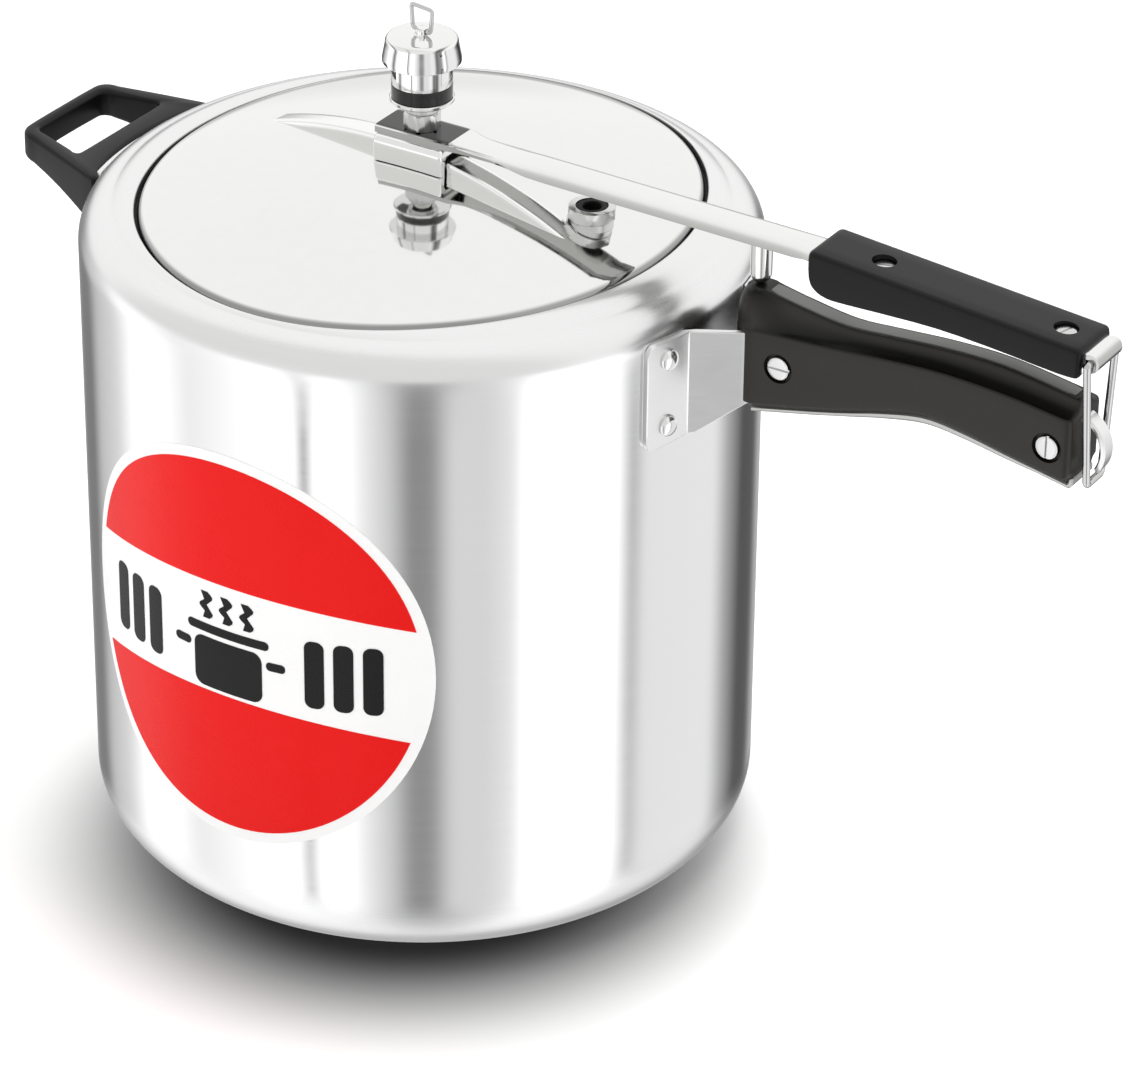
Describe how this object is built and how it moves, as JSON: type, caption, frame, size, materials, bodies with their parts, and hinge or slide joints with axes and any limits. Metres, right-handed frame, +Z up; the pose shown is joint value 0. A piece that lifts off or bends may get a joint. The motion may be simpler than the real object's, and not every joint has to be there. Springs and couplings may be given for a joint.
{
  "type": "stovetop pressure cooker",
  "caption": "Tall aluminium stovetop pressure cooker with an inside-fitting oval lid, lever lid handle with wire locking loop, vent weight, safety valve, long body handle and helper handle.",
  "frame": {"origin": "centre of the pot's flat base, where the pot's own axis meets the surface that it stands on", "axes": "+Z up along the pot's axis, +X from the pot's axis along the long body handle towards its end, the helper handle at -X"},
  "size_m": [0.4503, 0.254, 0.3362],
  "materials": {
    "polished_pot": "polished, with a mirror rim and a satin bottom edge",
    "polished_lid": "mirror polished",
    "bracket_metal": "satin sheet metal",
    "rivet_metal": "smooth bright rivet",
    "brown_black_plastic": "semi-matt phenolic moulding",
    "black_plastic": "semi-matt phenolic moulding",
    "plated_fastener": "bright zinc plate",
    "gasket_rubber": "smooth black rubber",
    "polished_steel": "bright polished steel",
    "plated_brass": "nickel-plated brass",
    "wire_steel": "bright drawn wire",
    "weight_chrome": "polished chrome plate",
    "band_black": "gloss black band"
  },
  "bodies": {
    "pot": {"pot_body": "polished_pot", "rear_bracket_left": "bracket_metal", "rear_bracket_right": "bracket_metal", "bracket_rivets": "rivet_metal", "body_handle_left": "brown_black_plastic", "body_handle_right": "brown_black_plastic", "handle_core_strap": "bracket_metal", "body_handle_screws": "plated_fastener", "body_handle_nuts": "plated_fastener", "helper_bracket": "bracket_metal", "helper_handle": "black_plastic", "helper_screws": "plated_fastener"},
    "lid": {"lid_plate": "polished_lid", "sealing_gasket": "gasket_rubber", "arched_strip": "polished_steel", "saddle_block": "polished_steel", "handle_bar": "polished_steel", "vent_tube": "plated_brass", "vent_lock_nut": "plated_fastener", "vent_washer": "plated_fastener", "safety_valve_body": "plated_brass", "safety_valve_plug": "gasket_rubber", "safety_valve_nut": "plated_fastener", "support_post": "polished_steel", "lid_handle": "black_plastic", "lid_handle_screws": "plated_fastener", "lid_handle_nuts": "plated_fastener"},
    "loop": {"locking_loop": "wire_steel"},
    "weight": {"weight_core": "weight_chrome", "weight_band": "band_black", "weight_needle": "plated_brass", "weight_cap": "weight_chrome"},
    "ring": {"pull_ring": "wire_steel"}
  },
  "joints": [
    {"name": "lid_tilt", "type": "hinge", "parent": "pot", "child": "lid", "pos_m": [0.144, 0, 0.268], "axis": [0, -1, 0], "range_deg": [0, 5]},
    {"name": "loop_swing", "type": "hinge", "parent": "lid", "child": "loop", "pos_m": [0.279, 0, 0.2735], "axis": [0, -1, 0], "range_deg": [0, 75]},
    {"name": "weight_lift", "type": "slide", "parent": "lid", "child": "weight", "axis": [0, 0, 1], "range_m": [0, 0.03]},
    {"name": "ring_swing", "type": "hinge", "parent": "weight", "child": "ring", "pos_m": [0, 0, 0.3262], "axis": [0.9848, -0.1736, 0], "range_deg": [-80, 80]}
  ],
  "couplings": [
    {"joint": "loop_swing", "follows": "lid_tilt", "ratio": 15}
  ]
}
